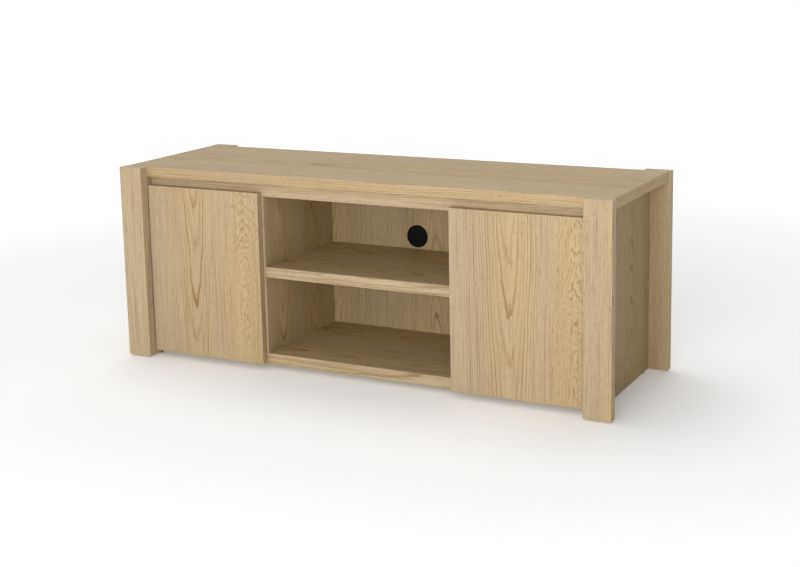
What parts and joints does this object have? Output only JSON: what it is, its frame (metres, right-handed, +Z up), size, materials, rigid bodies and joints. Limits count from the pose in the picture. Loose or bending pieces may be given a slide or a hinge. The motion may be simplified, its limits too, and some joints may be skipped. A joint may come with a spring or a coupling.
{
  "type": "media cabinet",
  "caption": "Long low media cabinet: flat corner legs, hinged doors beside an open shelved bay, a cable port in the back.",
  "frame": {"origin": "on the floor under the middle of the cabinet", "axes": "+X along the length to the cabinet's right-hand door as its front is faced, -Y out of the front, +Z up"},
  "size_m": [1.2, 0.4, 0.453],
  "materials": {
    "oak_top": "satin lacquered oak veneer, grain along X",
    "oak_board": "satin lacquered oak veneer",
    "oak_leg": "satin lacquered oak veneer, grain upright",
    "oak_door": "satin lacquered oak veneer, grain upright",
    "oak_back": "satin lacquered oak veneer, grain upright",
    "beech_dowel": "plain beech",
    "port_plastic": "fine-grained black plastic",
    "black_plastic": "moulded black plastic",
    "clear_bumper": "clear silicone",
    "nickel_steel": "nickel-plated steel",
    "zinc_steel": "bright zinc-plated steel",
    "cast_zinc": "dull die-cast zinc"
  },
  "bodies": {
    "carcass": {"back_panel": "oak_back", "back_panel_screws": "zinc_steel", "bottom_panel": "oak_board", "cam_bolts": "zinc_steel", "cam_discs": "cast_zinc", "center_shelf": "oak_board", "door_bumpers": "clear_bumper", "dowels": "beech_dowel", "floor_glides": "black_plastic", "front_rail": "oak_board", "hinge_arm_screws_left": "zinc_steel", "hinge_arm_screws_right": "zinc_steel", "hinge_arms_left": "nickel_steel", "hinge_arms_right": "nickel_steel", "hinge_pins_left": "zinc_steel", "hinge_pins_right": "zinc_steel", "hinge_plate_screws_left": "zinc_steel", "hinge_plate_screws_right": "zinc_steel", "hinge_plates_left": "nickel_steel", "hinge_plates_right": "nickel_steel", "leg_front_left": "oak_leg", "leg_front_right": "oak_leg", "leg_rear_left": "oak_leg", "leg_rear_right": "oak_leg", "loose_shelf_left": "oak_board", "loose_shelf_right": "oak_board", "panel_screws": "zinc_steel", "partition_left": "oak_board", "partition_right": "oak_board", "port_liner": "port_plastic", "rear_rail": "oak_board", "shelf_pins_left": "zinc_steel", "shelf_pins_right": "zinc_steel", "side_panel_left": "oak_board", "side_panel_right": "oak_board", "top_panel": "oak_top"},
    "door_left_body": {"door_left": "oak_door", "hinge_cups_left": "nickel_steel", "hinge_cup_screws_left": "zinc_steel"},
    "door_right_body": {"door_right": "oak_door", "hinge_cups_right": "nickel_steel", "hinge_cup_screws_right": "zinc_steel"},
    "link_left_body": {"hinge_links_left": "nickel_steel"},
    "link_right_body": {"hinge_links_right": "nickel_steel"},
    "cap_body": {"port_cap": "port_plastic"}
  },
  "joints": [
    {"name": "door_left_swing", "type": "hinge", "parent": "carcass", "child": "door_left_body", "pos_m": [-0.532, -0.173, 0.2125], "axis": [0, 0, -1], "range_deg": [0, 95]},
    {"name": "door_right_swing", "type": "hinge", "parent": "carcass", "child": "door_right_body", "pos_m": [0.532, -0.173, 0.2125], "axis": [0, 0, 1], "range_deg": [0, 95]},
    {"name": "link_left_turn", "type": "hinge", "parent": "carcass", "child": "link_left_body", "pos_m": [-0.5105, -0.157, 0.2125], "axis": [0, 0, -1], "range_deg": [-24.8, 0.1]},
    {"name": "link_right_turn", "type": "hinge", "parent": "carcass", "child": "link_right_body", "pos_m": [0.5105, -0.157, 0.2125], "axis": [0, 0, 1], "range_deg": [-24.8, 0.1]},
    {"name": "cap_pull", "type": "slide", "parent": "carcass", "child": "cap_body", "axis": [0, -1, 0], "range_m": [0, 0.06]}
  ],
  "couplings": [
    {"joint": "link_left_turn", "follows": "door_left_swing", "ratio": -0.26},
    {"joint": "link_right_turn", "follows": "door_right_swing", "ratio": -0.26}
  ]
}
